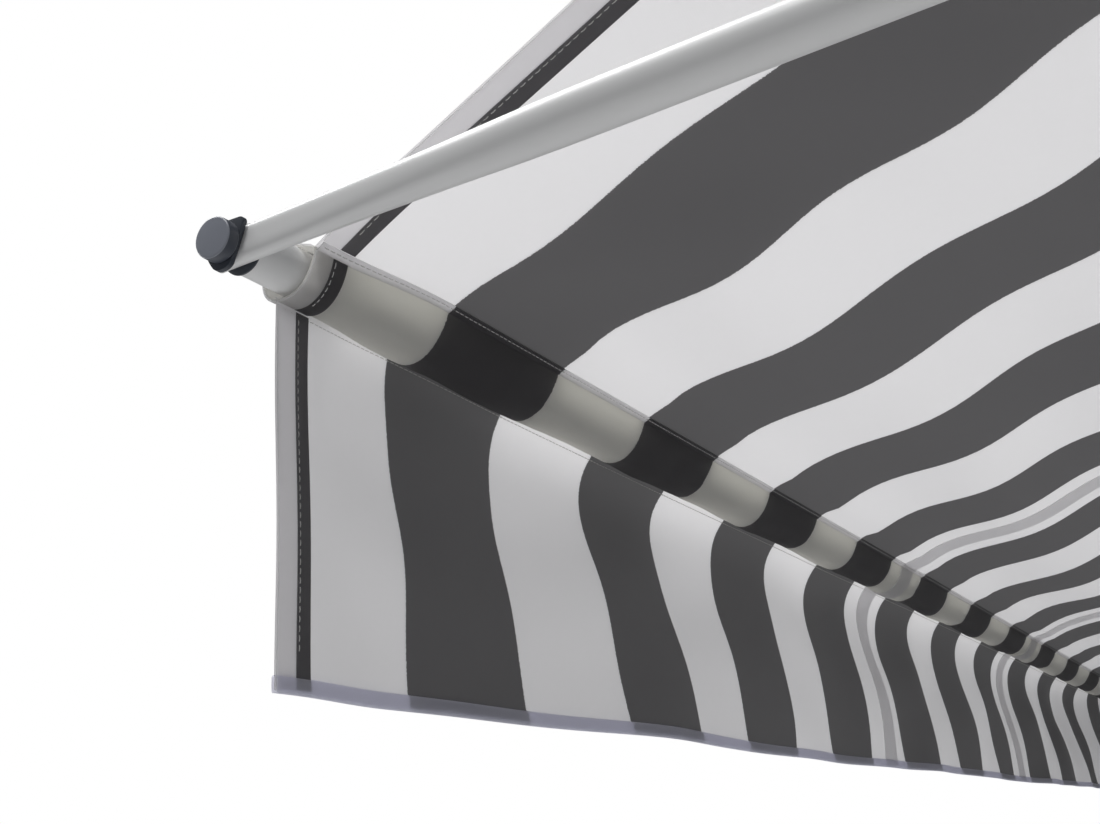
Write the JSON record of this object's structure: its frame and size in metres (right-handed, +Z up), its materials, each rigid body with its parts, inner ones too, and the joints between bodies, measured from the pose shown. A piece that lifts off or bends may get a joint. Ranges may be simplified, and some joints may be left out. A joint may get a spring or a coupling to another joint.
{
  "type": "fabric awning",
  "caption": "Wall-mounted drop-arm awning: a striped cloth on a crank roller, two swinging tube arms, a front bar and a straight valance.",
  "frame": {"origin": "middle of the wall face of the right-hand roller bracket, level with the roller's axis", "axes": "+X along the roller towards the crank end, +Y into the wall, +Z up; the awning reaches out towards -Y"},
  "size_m": [2.971, 1.2908, 0.842],
  "materials": {
    "white_paint": "smooth white powder coat, slightly glossy",
    "zinc_steel": "bright zinc plate",
    "dark_plastic": "dark slate moulded plastic, satin",
    "grey_plastic": "grey moulded plastic",
    "brass_wheel": "cut brass alloy",
    "awning_cloth": "woven polyester with wide white and anthracite stripes",
    "clear_binding": "translucent soft plastic edge binding"
  },
  "bodies": {
    "root": {"roller_bracket_right": "white_paint", "roller_bracket_left": "white_paint", "roller_bush_right": "dark_plastic", "roller_bush_left": "dark_plastic", "roller_screw_upper_right": "zinc_steel", "roller_screw_upper_left": "zinc_steel", "roller_screw_lower_right": "zinc_steel", "roller_screw_lower_left": "zinc_steel", "gear_housing": "grey_plastic", "gear_cover": "grey_plastic", "arm_bracket_right": "white_paint", "arm_bracket_left": "white_paint", "arm_screw_upper_right": "zinc_steel", "arm_screw_upper_left": "zinc_steel", "arm_screw_lower_right": "zinc_steel", "arm_screw_lower_left": "zinc_steel", "pivot_bolt_right": "zinc_steel", "pivot_bolt_left": "zinc_steel", "pivot_nut_right": "zinc_steel", "pivot_nut_left": "zinc_steel", "pivot_washer_inner_right": "dark_plastic", "pivot_washer_inner_left": "dark_plastic", "pivot_washer_outer_right": "dark_plastic", "pivot_washer_outer_left": "dark_plastic", "canopy": "awning_cloth"},
    "arms": {"arm_right": "white_paint", "arm_left": "white_paint", "front_bar": "white_paint", "bar_plug_right": "dark_plastic", "bar_plug_left": "dark_plastic", "bar_bolt_right": "zinc_steel", "bar_bolt_left": "zinc_steel", "end_plate_right": "dark_plastic", "end_plate_left": "dark_plastic", "end_cap_right": "dark_plastic", "end_cap_left": "dark_plastic", "bar_pocket": "awning_cloth"},
    "hanging_valance": {"valance": "awning_cloth", "edge_binding": "clear_binding"},
    "roller": {"roller_tube": "zinc_steel", "cloth_roll": "awning_cloth", "roller_plug_right": "grey_plastic", "roller_plug_left": "grey_plastic", "worm_wheel": "brass_wheel"},
    "crank": {"worm_shaft": "zinc_steel", "crank_eye": "grey_plastic"}
  },
  "joints": [
    {"name": "arm_swing", "type": "hinge", "parent": "root", "child": "arms", "pos_m": [0, -0.075, -0.53688], "axis": [-1, 0, 0], "range_deg": [-40, 80], "deforming": ["canopy"]},
    {"name": "valance_hang", "type": "hinge", "parent": "arms", "child": "hanging_valance", "pos_m": [0, -1.27386, -0.58622], "axis": [-1, 0, 0], "range_deg": [-80, 40]},
    {"name": "roller_turn", "type": "hinge", "parent": "root", "child": "roller", "pos_m": [0, -0.06, 0], "axis": [-1, 0, 0], "continuous": true},
    {"name": "crank_turn", "type": "hinge", "parent": "root", "child": "crank", "pos_m": [0.04, -0.0916, 0], "axis": [0, 0, 1], "continuous": true}
  ],
  "couplings": [
    {"joint": "valance_hang", "follows": "arm_swing", "ratio": -1},
    {"joint": "roller_turn", "follows": "arm_swing", "ratio": 16},
    {"joint": "crank_turn", "follows": "arm_swing", "ratio": 144}
  ]
}
